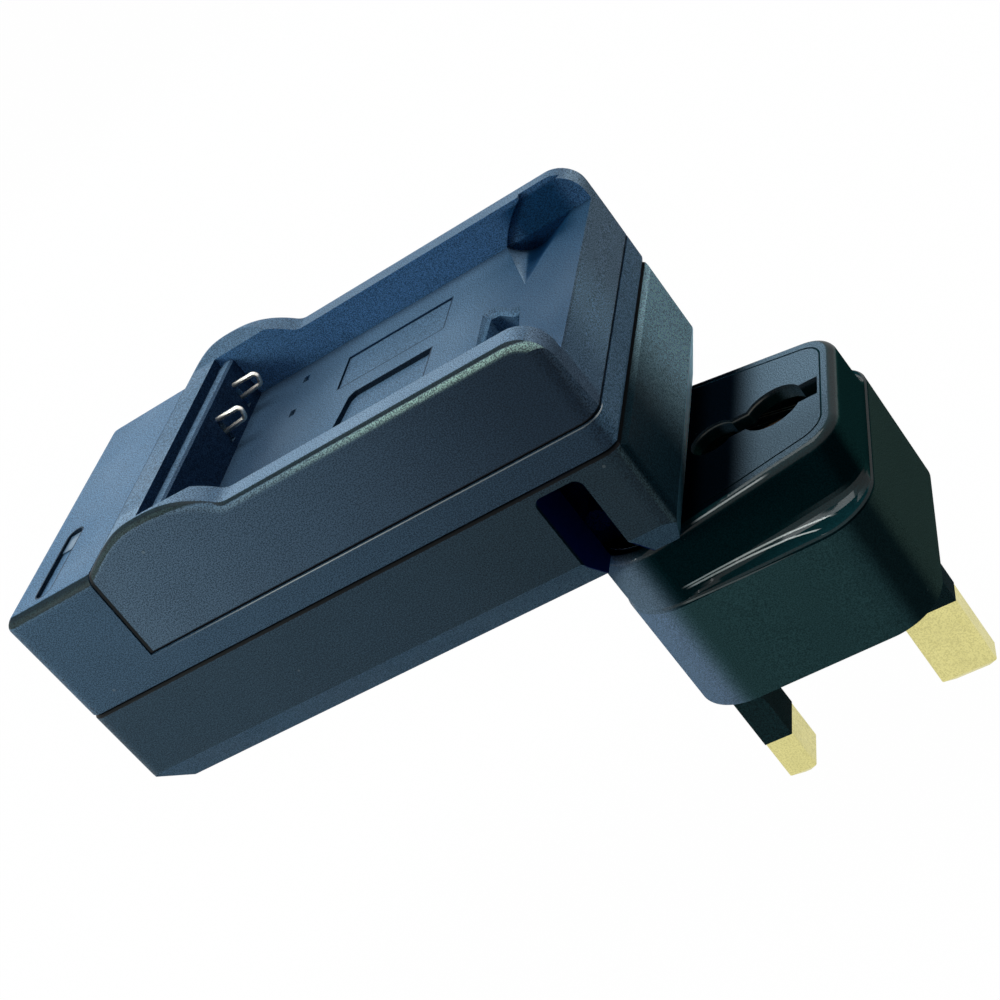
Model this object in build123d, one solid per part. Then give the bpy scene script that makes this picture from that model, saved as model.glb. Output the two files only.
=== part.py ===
from build123d import *
from math import cos, radians, sin
import os

os.makedirs("parts", exist_ok=True)

# Frame: X runs along the charger towards its rear, Y across it, Z up.
# The origin lies on the pin face, midway between the two flat pins. Sizes in millimetres.

# Mains pins, as the British three-pin standard sets them
pin_spacing = 22.2
earth_reach = 22.2
flat_pin_x = 3.97
flat_pin_y = 6.35
flat_pin_length = 17.7
earth_pin_x = 7.93
earth_pin_y = 3.97
earth_pin_length = 22.7
pin_chamfer = 1.2
pin_round = 0.4
sleeve_length = 10.3
sleeve_wall = 0.6
pin_head_height = 2.0
pin_head_rim = 0.3
pin_head_round = 0.8

# Folding plug blades, as the American two-blade standard sets them
blade_spacing = 12.7
blade_x = 6.35
blade_y = 1.5
blade_length = 16.5
blade_tip = 1.6

# Adapter body
adapter_height = 25.7
adapter_shoulder = 16.6
adapter_front = -5.8
adapter_rear = 29.0
adapter_half = 18.4
adapter_bend = 3.6
adapter_bow = 0.05
adapter_foot_half = 12.4
adapter_foot_rise = 1.8
adapter_lip = 0.3
adapter_lip_edge = 0.25
adapter_draft = 0.3
shoulder_steps = 5
screw_x = 4.6
screw_foot = 10.0
strip_width = 4.8
strip_thickness = 0.6
clip_clearance = 1.6
adapter_top_half = 11.6
adapter_front_radius = 9.0
adapter_rear_radius = 7.0
adapter_top_radius = 5.5
adapter_wall = 2.0
adapter_side = 1.5
adapter_edge = 1.4
rim_width = 1.75
rim_groove = 0.25
rim_groove_depth = 0.2

# Openings in the socket face
blade_slot_x = 7.0
blade_slot_y = 3.2
earth_small_x = 11.9
earth_small_radius = 3.2
earth_big_x = 20.4
earth_big_radius = 4.2
earth_neck = 4.0
earth_end_x = 26.7

# Charger case
case_front = -71.5
case_rear = 11.1
case_half = 23.4
case_wall = 1.8
rear_radius = 2.5
front_radius = 2.6
base_chamfer_y = 4.4
base_chamfer_z = 5.1
base_chamfer_front = 2.0
base_chamfer_rear = 3.0
front_lean = 0.8
case_joint = 16.4
band_height = 4.3
deck_height = 33.9
deck_edge = 1.5
groove_chamfer = 0.35
rear_bevel_z = 1.1
rear_bevel_x = 0.6
seam_chamfer = 0.35

# Battery cradle
cradle_front = -56.6
cradle_lean = 0.75
cradle_step = 0.6
wall_top = 33.6
hump_top = 37.4
hump_ridge_x = -48.1
hump_fall_x = -34.3
hump_blend = 2.5
hump_offsets = [(-3.1, -1.3), (0.0, -0.25), (3.7, 0.0), (7.9, -0.5)]
hump_tail = (-1.9, 1.5)
bay_front = -44.9
bay_floor = 28.5
bay_half = 19.3
floor_thickness = 2.0
rear_corner = 4.2
rear_lean = 0.5
outer_edge = 1.2
inner_edge = 0.3
ridge_x = -47.2
ridge_top = 36.15
ridge_groove = 0.9
ridge_step = 1.15
ridge_dip = 0.3
seam_gap = 0.25

# Finger scoops at the rear of the bay, label recesses and slots in its floor
scoop_front = -2.8
scoop_tip_x = 2.7
scoop_tip_y = 3.6
scoop_low_x = 0.6
scoop_mid_x = 4.6
scoop_rear = 8.8
scoop_depth = 2.4
scoop_into_wall = 1.0
scoop_wall_lean = 5.6
scoop_bow = 0.6
scoop_mid_share = 0.6
scoop_point = 0.03
pocket_front = -2.9
pocket_rear = 3.6
pocket_far_y = 2.0
pocket_dip_x = 1.2
pocket_dip_y = -1.0
pocket_near_y = -14.0
pocket_depth = 3.0
pocket_lean = 0.6
pocket_peak = 1.2
pocket_fall = 0.7
pocket_lip = 0.8
scoop_shell = 1.2
label_front = -27.6
label_rear = -10.3
label_split_y = 5.0
label_far_y = 13.5
label_near_y = -14.0
label_depth_far = 0.3
label_depth_near = 0.7
label_corner = 0.8
label_gap = 3.7
label_foot = 1.0
label_inset = 3.1
label_end = 1.0
slot_x = -35.4
slot_width = 1.0
slot_length = 1.6
slot_depth = 1.2

# Plug well, finger notch and folding plug
notch_x0 = -1.9
notch_x1 = 4.6
notch_top = 15.3
notch_round = 1.2
well_x0 = -10.5
well_x1 = 6.0
well_half = 15.5
well_wall = 1.5
trough_x0 = -27.0
trough_half = 9.5
trough_depth = 8.3
trough_slot = 3.0
plug_half_x = 5.5
plug_half_y = 12.0
plug_height = 11.6
hinge_height = 5.5
hinge_radius = 1.5
plug_round = 3.3
blade_root = 2.6
tail_gap = 0.8
leaf_overlap = 3.0

# Board and what stands on it
board_top = 12.6
board_thickness = 1.6
board_front = -66.0
board_rear = -12.5
board_half = 18.5
leaf_thickness = 0.5
leaf_width = 3.0
screw_front_x = -60.0
screw_rear_x = -17.0
screw_y = 14.5
screw_radius = 1.2
screw_head_radius = 2.4
screw_head_height = 1.6
pillar_radius = 3.2
pillar_neck = 2.2
pillar_top = 18.3
boss_depth = 7.5
case_screw_length = 22.0
drive_slot = 0.6
drive_length = 3.2
drive_depth = 0.8

# Parts on the board
part_clearance = 1.2
core_x = -37.0
core_length = 18.0
core_width = 17.0
core_round = 1.0
can_x = -20.8
can_radius = 3.8
can_length = 18.0
can_foot = 0.6
small_can_x = -49.4
small_can_y = 11.5
small_can_radius = 4.0
bridge_x = -34.0
bridge_y = 13.6
bridge_length = 8.0
bridge_width = 6.0
bridge_height = 4.0
chip_x = -51.0
chip_y = -5.0
chip_length = 5.0
chip_width = 6.0
chip_height = 1.8
led_length = 2.8
led_width = 1.8
led_height = 1.6

# Indicator and contacts
pill_x = -64.7
pill_y0 = -21.0
pill_y1 = -6.2
pill_width = 2.6
pill_depth = 0.5
lens_length = 3.8
lens_width = 2.2
lens_shift = 0.6
lens_rise = 0.2
flange_rim = 0.7
flange_height = 0.8
wire_radius = 0.33
wire_near_y = 5.9
wire_far_y = 14.8
wire_top = 33.0
wire_reach = 4.1
wire_drop = 1.75
wire_foot = 30.9
wire_tail = 5.5
wire_bend = 0.6
wire_slant = 0.5
wire_end = 0.9
window_x = 1.8
window_z = 1.2

# Fits
running_gap = 0.3
seat_gap = 0.4

base_z = adapter_height
joint_z = base_z + case_joint
band_z = joint_z + band_height
deck_z = base_z + deck_height
wall_z = base_z + wall_top
hump_z = base_z + hump_top
floor_z = base_z + bay_floor
board_z = base_z + board_top
far = 200.0


def block(x0, x1, y0, y1, z0, z1):
    return Pos((x0 + x1) / 2, (y0 + y1) / 2, (z0 + z1) / 2) * Box(x1 - x0, y1 - y0, z1 - z0)


# A block by the middle of its plan
def on_axis(x, y, size_x, size_y, z0, z1):
    return block(x - size_x / 2, x + size_x / 2, y - size_y / 2, y + size_y / 2, z0, z1)


def post(x, y, radius, z0, z1):
    return Pos(x, y, (z0 + z1) / 2) * Cylinder(radius, z1 - z0)


def rod_y(x, z, radius, y0, y1):
    return Pos(x, (y0 + y1) / 2, z) * Rot(90, 0, 0) * Cylinder(radius, y1 - y0)


def prism_z(sketch, z0, z1):
    return Pos(0, 0, z0) * extrude(sketch, z1 - z0, dir=(0, 0, 1))


def prism_y(points, y0, y1):
    face = Plane.XZ.offset(-y1) * Polygon(*points, align=None)
    return extrude(face, y1 - y0, dir=(0, -1, 0))


def prism_x(points, x0, x1):
    face = Plane.YZ.offset(x0) * Polygon(*points, align=None)
    return extrude(face, x1 - x0, dir=(1, 0, 0))


def save(shape, name):
    export_step(shape, "parts/" + name + ".step")


# Plan of the case: a rectangle with tighter corners at the front than at the rear
def case_plan(inset):
    x0 = case_front + inset
    x1 = case_rear - inset
    half = case_half - inset
    plan = Polygon((x0, -half), (x1, -half), (x1, half), (x0, half), align=None)
    corners = plan.vertices().sort_by(Axis.X)
    plan = fillet(corners[2:], max(rear_radius - inset, 0.8))
    corners = plan.vertices().sort_by(Axis.X)
    return fillet(corners[:2], max(front_radius - inset, 0.8))


# A sloping edge moved inwards by the wall: gives the height at the side and the run at the base
def sloped(run, rise, inset):
    length = (run * run + rise * rise) ** 0.5
    height = rise + inset * run / length - rise * inset * (1 - rise / length) / run
    reach = inset * rise / length + run * (rise - inset * (1 - run / length)) / rise
    return height, reach


# Case body below the joint or above it, as three profiles crossed
def tub(inset, top):
    side_z, side_run = sloped(base_chamfer_y, base_chamfer_z, inset)
    front_z, front_run = sloped(base_chamfer_front, base_chamfer_z, inset)
    rear_z, rear_run = sloped(base_chamfer_rear, base_chamfer_z, inset)
    half = case_half - inset
    z0 = base_z + inset
    across = [(-half, top), (-half, base_z + side_z), (side_run - case_half, z0)]
    across += [(case_half - side_run, z0), (half, base_z + side_z), (half, top)]
    front = case_front + inset
    rear = case_rear - inset
    along = [(front, top), (front + front_lean, base_z + front_z)]
    along += [(case_front + front_lean + front_run, z0), (case_rear - rear_run, z0)]
    along += [(rear, base_z + rear_z), (rear, top)]
    body = prism_z(case_plan(inset), z0, top)
    return body & prism_x(across, -far, far) & prism_y(along, -far, far)


def cap(inset, top):
    lean_top = case_front + inset + front_lean * (top - joint_z) / (deck_z - joint_z)
    along = [(case_front + inset, joint_z), (far, joint_z), (far, top), (lean_top, top)]
    return prism_z(case_plan(inset), joint_z, top) & prism_y(along, -far, far)


# Edges that lie flat at one height
def rim_edges(shape, z):
    found = []
    for e in shape.edges():
        box = e.bounding_box()
        if max(abs(box.min.Z - z), abs(box.max.Z - z)) < 1e-4:
            found.append(e)
    return found


# Wedge along the rear of the case joint, above it or below it
def rear_bevel(way):
    x = case_rear - rear_bevel_x
    edge = joint_z + way * rear_bevel_z
    return prism_y([(x, joint_z), (case_rear, edge), (far, edge), (far, joint_z)], -far, far)


# Lower case
lower = chamfer(rim_edges(tub(0, joint_z), joint_z), groove_chamfer)
lower -= rear_bevel(-1)
lower -= tub(case_wall, joint_z + 1)
well_top = base_z + notch_top
lower += block(well_x0 - well_wall, well_x1 + well_wall, -well_half - well_wall, well_half + well_wall,
               base_z + case_wall / 2, well_top + well_wall)
lower += block(trough_x0 - well_wall, well_x0, -trough_half, trough_half,
               base_z + case_wall / 2, base_z + trough_depth + well_wall)
near_tunnel = block(notch_x0 - well_wall, notch_x1 + well_wall, -case_half, -well_half,
                    base_z, well_top + well_wall)
lower += near_tunnel & tub(case_wall / 2, joint_z)
for x in (screw_front_x, screw_rear_x):
    for y in (-screw_y, screw_y):
        lower += post(x, y, pillar_radius, base_z + case_wall / 2, board_z - board_thickness)
        lower += post(x, y, pillar_neck, board_z - board_thickness, base_z + pillar_top)
lower -= block(well_x0, well_x1, -well_half, well_half, base_z - 1, well_top)
notch = block(notch_x0, notch_x1, -case_half - 1, -well_half + 1, base_z - 1, well_top)
notch = fillet(notch.edges().filter_by(Axis.Y).group_by(Axis.Z)[-1], notch_round)
lower -= notch
for side in (-1, 1):
    y = side * blade_spacing / 2
    lower -= block(trough_x0, well_x0 + 1, y - trough_slot / 2, y + trough_slot / 2,
                   base_z - 1, base_z + trough_depth)
    leaf_half = leaf_width / 2 + running_gap
    lower -= block(well_x0 - well_wall - 1, well_x0 + 1, y - leaf_half, y + leaf_half,
                   board_z - running_gap, board_z + leaf_thickness + running_gap)
hinge_z = base_z + hinge_height
hinge_half = well_half + well_wall / 2
lower -= rod_y(0, hinge_z, hinge_radius, -hinge_half, hinge_half)
for x in (screw_front_x, screw_rear_x):
    for y in (-screw_y, screw_y):
        lower -= post(x, y, screw_radius + running_gap, base_z - 1, base_z + pillar_top + 1)
        lower -= post(x, y, screw_head_radius + running_gap, base_z - 1, base_z + screw_head_height + seat_gap)
save(lower, "lower_case")

# Upper case: deck at the front, band round the rest
upper = cap(0, deck_z)
upper = chamfer(rim_edges(upper, joint_z), groove_chamfer)
upper -= rear_bevel(1)
upper = fillet(rim_edges(upper, deck_z), deck_edge)
cradle_top_x = cradle_front + cradle_lean
cradle_zone = [(cradle_front, band_z), (cradle_top_x, deck_z), (cradle_top_x, far), (far, far), (far, band_z)]
upper -= prism_y(cradle_zone, -far, far)
deck_under = deck_z - case_wall
inside = cap(case_wall, deck_under)
upper -= inside & block(-far, cradle_front - case_wall, -far, far, joint_z, deck_z)
upper -= inside & block(cradle_front - case_wall - 1, far, -far, far, joint_z, band_z - case_wall)
upper -= inside & block(cradle_front + case_wall, far, -far, far, joint_z, band_z + 1)
pill = SlotOverall(pill_y1 - pill_y0, pill_width)
pill = Pos(pill_x, (pill_y0 + pill_y1) / 2) * Rot(0, 0, 90) * pill
upper -= prism_z(pill, deck_z - pill_depth, deck_z + 1)
lens_y = pill_y1 - pill_width / 2 - lens_length / 2 + lens_shift
upper -= on_axis(pill_x, lens_y, lens_width, lens_length, deck_under - 1, deck_z)
boss_foot = base_z + pillar_top + seat_gap
for y in (-screw_y, screw_y):
    upper += post(screw_front_x, y, pillar_radius, boss_foot, deck_under)
    upper -= post(screw_front_x, y, screw_radius, boss_foot - 1, boss_foot + boss_depth)
save(upper, "upper_case")

# Battery cradle: one side view carried across the charger, then hollowed for the bay
rear_top_x = case_rear - rear_lean
front_x = cradle_front + seam_gap
rise_x = cradle_top_x + seam_gap
hump_line = [(rise_x, deck_z)]
for dx, dz in hump_offsets:
    hump_line.append((hump_ridge_x + dx, hump_z + dz))
hump_line.append((hump_fall_x + hump_tail[0], wall_z + hump_tail[1]))
hump_line.append((hump_fall_x, wall_z))
outline = Polyline((hump_fall_x, wall_z), (rear_top_x, wall_z), (case_rear, band_z),
                   (front_x, band_z), (rise_x, deck_z))
side_view = make_face(Plane.XZ * (Curve() + [Spline(*hump_line), outline]))
side_view = fillet(side_view.vertices().sort_by(Axis.X)[-2:].sort_by(Axis.Z)[-1], rear_corner)
side_view = fillet(side_view.vertices().sort_by_distance((hump_fall_x, 0, wall_z))[0], hump_blend)
cradle = extrude(side_view, case_half, both=True)


# Edges along the tops of the side walls, from the deck to the rear corner
def top_edges(shape, half):
    found = []
    for e in shape.edges():
        c = e.center()
        if abs(abs(c.Y) - half) < 0.01 and c.Z > wall_z - outer_edge and c.X < rear_top_x - rear_corner:
            if e.bounding_box().size.Y < 0.01:
                found.append(e)
    return found


cradle = fillet(top_edges(cradle, case_half), outer_edge)
seam_z = band_z + seam_chamfer
seam_solid = loft([Pos(0, 0, band_z) * case_plan(seam_chamfer), Pos(0, 0, seam_z) * case_plan(0)], ruled=True)
cradle &= seam_solid + prism_z(case_plan(0), seam_z, hump_z + 5)
ridge_z = base_z + ridge_top
slope_half = case_half - outer_edge
cradle -= prism_x([(-bay_half, ridge_z), (bay_half, ridge_z), (slope_half, hump_z), (slope_half, far),
                   (-slope_half, far), (-slope_half, hump_z)], -far, far)
step_z = ridge_z - ridge_step
dip_z = step_z - ridge_dip
bay = [(bay_front, floor_z), (far, floor_z), (far, far), (ridge_x, far), (ridge_x, dip_z)]
bay += [(ridge_x + ridge_groove, dip_z), (ridge_x + ridge_groove, step_z)]
bay += [(bay_front - inner_edge, step_z), (bay_front, step_z - inner_edge)]
cradle -= prism_y(bay, -bay_half, bay_half)
under = floor_z - floor_thickness
hollow = prism_z(case_plan(case_wall + cradle_step), band_z - 1, under)
hollow &= block(cradle_front + case_wall, far, -far, far, band_z - 1, under)
cradle -= hollow
for y in (-screw_y, screw_y):
    cradle += post(screw_rear_x, y, pillar_radius, boss_foot, under)
    cradle -= post(screw_rear_x, y, screw_radius, boss_foot - 1, boss_foot + boss_depth)

# Finger scoops: a ramp that rises to the rear beside the far wall, and a pocket with an upright
# front face nearer the middle, both over a thicker stretch of floor
shell_rear = case_rear - case_wall - scoop_shell
cradle += block(pocket_front - scoop_shell, shell_rear, pocket_near_y - scoop_shell, bay_half + scoop_shell,
                floor_z - pocket_depth - scoop_shell, under)
scoop_y = bay_half + scoop_into_wall


# Upright section of the scoop, shrunk by a share towards its tip
def scoop_section(share):
    def at(x, z):
        return scoop_tip_x + share * (x - scoop_tip_x), floor_z + share * (z - floor_z)

    lip_top = scoop_front + scoop_wall_lean
    lip_middle = at(scoop_front + scoop_wall_lean / 2 - scoop_bow, (floor_z + wall_z) / 2)
    bowl = Spline(at(scoop_front, floor_z), at(scoop_low_x, floor_z - scoop_depth),
                  at(scoop_mid_x, floor_z - scoop_depth * scoop_mid_share), at(scoop_rear, floor_z))
    lip = ThreePointArc(at(scoop_front, floor_z), lip_middle, at(lip_top, wall_z))
    rim = Polyline(at(lip_top, wall_z), at(lip_top, hump_z), at(scoop_rear, hump_z), at(scoop_rear, floor_z))
    y = scoop_tip_y + share * (scoop_y - scoop_tip_y)
    return make_face(Plane.XZ.offset(-y) * (Curve() + [bowl, lip, rim]))


cradle -= loft([scoop_section(scoop_point), scoop_section(1.0)], ruled=True)


# Outline of the pocket, drawn in by a lip
def pocket_plan(lip):
    rear = pocket_rear - lip / 4
    return Polygon((pocket_front + lip / 4, pocket_near_y),
                   (pocket_front - pocket_lean + lip, pocket_far_y - lip),
                   (pocket_front + pocket_peak + lip / 2, pocket_far_y + pocket_lean - lip * 2),
                   (pocket_dip_x, pocket_dip_y - lip),
                   (scoop_tip_x - lip / 4, pocket_dip_y - pocket_fall - lip / 2),
                   (rear, -bay_half / 2), (rear, pocket_near_y), align=None)


lip_z = floor_z - pocket_lip
pocket_foot = Pos(0, 0, lip_z) * pocket_plan(pocket_lip)
cradle -= loft([pocket_foot, Pos(0, 0, floor_z) * pocket_plan(0)], ruled=True)
cradle -= prism_z(pocket_plan(pocket_lip), floor_z - pocket_depth, lip_z)
cradle -= block(label_front, label_rear, label_split_y, label_far_y, floor_z - label_depth_far, floor_z + 1)
label_top = label_split_y - label_gap
label_x = label_front + label_inset
label_near = Polygon((label_front + label_foot, label_near_y), (label_x, label_top - label_corner),
                     (label_x + label_corner, label_top), (label_rear - label_end, label_top),
                     (label_rear - label_end, label_near_y), align=None)
cradle -= prism_z(label_near, floor_z - label_depth_near, floor_z + 1)
for y in (wire_near_y, wire_far_y):
    cradle -= on_axis(slot_x, y, slot_width, slot_length, floor_z - slot_depth, floor_z + 1)
wire_z = base_z + wire_top
foot_z = base_z + wire_foot
wire_root = bay_front - wire_tail
for y in (wire_near_y, wire_far_y):
    cradle -= Pos((wire_root + bay_front) / 2, y, wire_z) * Rot(0, 90, 0) * Cylinder(wire_radius, wire_tail)
    window_y = wire_radius + running_gap
    cradle -= block(bay_front - window_x, bay_front + 1, y - window_y, y + window_y,
                    foot_z - wire_radius - window_z, foot_z + wire_radius + window_z)
save(cradle, "battery_cradle")


# Contact wires: a hairpin in a plane across the front wall
def wire(y):
    tip = bay_front + wire_reach
    points = [(wire_root, y, wire_z), (tip, y, wire_z), (tip - wire_slant, y, wire_z - wire_drop)]
    points.append((bay_front - wire_end, y, foot_z))
    path = FilletPolyline(*points, radius=wire_bend)
    section = Plane(origin=points[0], z_dir=(1, 0, 0)) * Circle(wire_radius)
    return sweep(section, path=path)


save(wire(wire_near_y), "contact_spring_near")
save(wire(wire_far_y), "contact_spring_far")

# Indicator: light pipe above the lamp on the board
led_top = board_z + led_height
lens_top = deck_z - pill_depth + lens_rise
pipe = on_axis(pill_x, lens_y, lens_width, lens_length, led_top + running_gap, lens_top)
pipe += on_axis(pill_x, lens_y, lens_width + 2 * flange_rim, lens_length + 2 * flange_rim,
                deck_under - flange_height, deck_under)
save(pipe, "indicator_light_pipe")
save(on_axis(pill_x, lens_y, led_width, led_length, board_z, led_top), "charge_led")

# Board and its parts
board = block(board_front, board_rear, -board_half, board_half, board_z - board_thickness, board_z)
for x in (screw_front_x, screw_rear_x):
    for y in (-screw_y, screw_y):
        board -= post(x, y, pillar_neck + running_gap, board_z - 5, board_z + 1)
save(board, "main_board")


# A part standing on the board, by its middle and its size
def on_board(x, y, length, width, height):
    return on_axis(x, y, length, width, board_z, board_z + height)


head_room = under - board_z - part_clearance
core = on_board(core_x, 0, core_length, core_width, head_room)
save(fillet(core.edges().filter_by(Axis.Z), core_round), "transformer")
can = rod_y(can_x, board_z + can_radius, can_radius, -can_length / 2, can_length / 2)
save(can + on_board(can_x, 0, can_radius * 2 * can_foot, can_length, can_radius), "input_capacitor")
save(post(small_can_x, small_can_y, small_can_radius, board_z, board_z + head_room), "output_capacitor")
save(on_board(bridge_x, bridge_y, bridge_length, bridge_width, bridge_height), "bridge_rectifier")
save(on_board(chip_x, chip_y, chip_length, chip_width, chip_height), "controller_chip")

# Screws of the case, all alike
screws = []
for x in (screw_front_x, screw_rear_x):
    for y in (-screw_y, screw_y):
        seat = base_z + screw_head_height + seat_gap
        screw = post(x, y, screw_head_radius, seat - screw_head_height, seat)
        screw += post(x, y, screw_radius, seat, seat + case_screw_length)
        for reach_x, reach_y in ((drive_length, drive_slot), (drive_slot, drive_length)):
            screw -= on_axis(x, y, reach_x, reach_y, seat - screw_head_height - 1,
                             seat - screw_head_height + drive_depth)
        screws.append(screw)
save(Compound(children=screws), "case_screws")

# Folding plug, swung out
plug = block(-plug_half_x, plug_half_x, -plug_half_y, plug_half_y, base_z, base_z + plug_height)
plug = fillet(plug.edges().filter_by(Axis.Y).group_by(Axis.Z)[-1], plug_round)
plug -= rod_y(0, hinge_z, hinge_radius, -far, far)
tail_x = hinge_radius + tail_gap
tail_middle = (tail_x + blade_x / 2) / 2
tail_size = blade_x / 2 - tail_x
root_z = base_z + blade_root
blades = []
for side in (-1, 1):
    y = side * blade_spacing / 2
    shank = on_axis(0, y, blade_x, blade_y, base_z - blade_length, root_z)
    tip_edges = shank.edges().filter_by(Axis.Y).group_by(Axis.Z)[0]
    shank = chamfer(tip_edges, blade_tip)
    shank += on_axis(tail_middle, y, tail_size, blade_y, base_z, board_z)
    plug -= on_axis(0, y, blade_x, blade_y, base_z - 1, root_z)
    plug -= on_axis(tail_middle, y, tail_size, blade_y, base_z, board_z + 1)
    blades.append(shank)
save(plug, "plug_block")
save(blades[0], "plug_blade_near")
save(blades[1], "plug_blade_far")
save(rod_y(0, hinge_z, hinge_radius, -hinge_half, hinge_half), "plug_hinge_pin")
for side, name in ((-1, "blade_contact_near"), (1, "blade_contact_far")):
    y = side * blade_spacing / 2
    leaf = block(board_rear - leaf_overlap, blade_x / 2, y - leaf_width / 2, y + leaf_width / 2,
                 board_z, board_z + leaf_thickness)
    save(leaf, name)


# Adapter outline: six corners, the middle pair where the sides begin to taper
def adapter_plan(half, end_half, end_radius, inset=0.0):
    x0 = adapter_front + inset
    x1 = adapter_rear - inset
    front = half - inset
    middle = front + adapter_bow
    end = end_half - inset
    plan = Polygon((x0, -front), (adapter_bend, -middle), (x1, -end), (x1, end),
                   (adapter_bend, middle), (x0, front), align=None)
    corners = plan.vertices().sort_by(Axis.X)
    plan = fillet(corners[:2], adapter_front_radius - inset)
    corners = plan.vertices().sort_by(Axis.X)
    return fillet(corners[-2:], end_radius - inset)


def base_plan(inset):
    return adapter_plan(adapter_half, adapter_half - adapter_draft, adapter_rear_radius, inset)


def foot_plan(inset):
    return adapter_plan(adapter_half - adapter_draft, adapter_foot_half, adapter_top_radius, inset)


def head_plan(inset):
    return adapter_plan(adapter_half - adapter_draft, adapter_top_half, adapter_top_radius, inset)


# Outline part of the way from the rim of the shoulder to the foot of the upper body
def shoulder_plan(share):
    end_half = adapter_half - adapter_draft + share * (adapter_foot_half + adapter_draft - adapter_half)
    radius = adapter_rear_radius + share * (adapter_top_radius - adapter_rear_radius)
    return adapter_plan(adapter_half - share * adapter_draft, end_half, radius, (1 - share) * adapter_lip_edge)


def adapter_loft(inset, z_foot, z_top):
    return loft([Pos(0, 0, z_foot) * foot_plan(inset), Pos(0, 0, z_top) * head_plan(inset)], ruled=True)


# Adapter base with its pin holes
base = prism_z(base_plan(0), 0, adapter_shoulder)
base -= prism_z(base_plan(adapter_side), adapter_wall, adapter_shoulder + 1)
base += post(screw_x, 0, pillar_radius, adapter_wall / 2, screw_foot)
base -= post(screw_x, 0, screw_radius + running_gap, -1, screw_foot + 1)
base -= post(screw_x, 0, screw_head_radius + running_gap, -1, screw_head_height + seat_gap)

pins = [("line", 0.0, -pin_spacing / 2, flat_pin_x, flat_pin_y, flat_pin_length),
        ("neutral", 0.0, pin_spacing / 2, flat_pin_x, flat_pin_y, flat_pin_length),
        ("earth", earth_reach, 0.0, earth_pin_x, earth_pin_y, earth_pin_length)]
head_top = adapter_wall + pin_head_height
for name, x, y, size_x, size_y, length in pins:
    neck_x = size_x - 2 * sleeve_wall
    neck_y = size_y - 2 * sleeve_wall
    shank_z = pin_chamfer - length
    outline = Pos(x, y) * RectangleRounded(size_x, size_y, pin_round)
    tip_plan = Pos(x, y) * RectangleRounded(size_x - 2 * pin_chamfer, size_y - 2 * pin_chamfer, pin_round)
    bar = prism_z(outline, shank_z, -sleeve_length)
    bar += loft([Pos(0, 0, -length) * tip_plan, Pos(0, 0, shank_z) * outline], ruled=True)
    bar += on_axis(x, y, neck_x, neck_y, -sleeve_length - 1, head_top)
    head = on_axis(x, y, size_x + 2 * pin_head_rim, size_y + 2 * pin_head_rim, adapter_wall, head_top)
    bar += fillet(head.edges().filter_by(Axis.Z), pin_head_round)
    tube = on_axis(x, y, size_x, size_y, -sleeve_length, adapter_wall)
    tube -= on_axis(x, y, neck_x, neck_y, -sleeve_length - 1, adapter_wall + 1)
    base -= on_axis(x, y, size_x, size_y, -1, adapter_wall + 1)
    save(bar, name + "_pin")
    save(tube, name + "_sleeve")
save(base, "adapter_base")

# Adapter cover: hollow shoulder as a quarter ellipse, tapering body, socket openings
lip_z = adapter_shoulder + adapter_lip
ledge_z = lip_z + adapter_lip_edge
sections = [Pos(0, 0, adapter_shoulder) * base_plan(0), Pos(0, 0, lip_z) * base_plan(0)]
for step in range(shoulder_steps + 1):
    turn = radians(90.0 * step / shoulder_steps)
    sections.append(Pos(0, 0, ledge_z + adapter_foot_rise * (1 - cos(turn))) * shoulder_plan(sin(turn)))
sections.append(Pos(0, 0, adapter_height) * head_plan(0))
cover = loft(sections, ruled=True)
cover = fillet(rim_edges(cover, adapter_height), adapter_edge)
cover -= adapter_loft(adapter_side, adapter_shoulder - 1, adapter_height - adapter_wall)
rim_ring = head_plan(rim_width) - head_plan(rim_width + rim_groove)
cover -= prism_z(rim_ring, adapter_height - rim_groove_depth, adapter_height + 1)
for side in (-1, 1):
    y = side * blade_spacing / 2
    cover -= on_axis(0, y, blade_slot_x, blade_slot_y, adapter_height - adapter_wall - 1, adapter_height + 1)
opening = Pos(earth_small_x, 0) * Circle(earth_small_radius)
opening += Pos(earth_big_x, 0) * Circle(earth_big_radius)
opening += Pos((earth_small_x + earth_end_x) / 2, 0) * Rectangle(earth_end_x - earth_small_x, earth_neck)
cover -= prism_z(opening, adapter_height - adapter_wall - 1, adapter_height + 1)
cover += post(screw_x, 0, pillar_radius, screw_foot + seat_gap, adapter_height - adapter_wall / 2)
cover -= post(screw_x, 0, screw_radius, screw_foot - 1, screw_foot + boss_depth)
save(cover, "adapter_cover")

# Adapter contacts: a strip under the blade or pin, and two leaves that grip it
leaf_gap = seat_gap + strip_thickness / 2
clip_top = adapter_height - adapter_wall - clip_clearance
for side, name in ((-1, "line_contact"), (1, "neutral_contact")):
    outer = side * (pin_spacing / 2 + strip_width / 2)
    inner = side * (blade_spacing / 2 - blade_y / 2 - leaf_gap - strip_thickness)
    clip = on_axis(0, (outer + inner) / 2, strip_width, abs(outer - inner), head_top, head_top + strip_thickness)
    for edge in (-1, 1):
        y = side * blade_spacing / 2 + edge * (blade_y / 2 + leaf_gap)
        clip += on_axis(0, y, strip_width, strip_thickness, head_top, clip_top)
    save(clip, name)
earth_x0 = earth_small_x + earth_small_radius + running_gap
earth_x1 = earth_end_x - earth_small_radius / 2
earth_y = earth_neck / 2 + leaf_gap + strip_thickness / 2
earth_clip = block(earth_x0, earth_x1, -earth_y, earth_y, head_top, head_top + strip_thickness)
for edge in (-1, 1):
    y = edge * (earth_y - strip_thickness / 2)
    earth_clip += block(earth_x0, earth_x1, y - strip_thickness / 2, y + strip_thickness / 2, head_top, clip_top)
save(earth_clip, "earth_contact")

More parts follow.
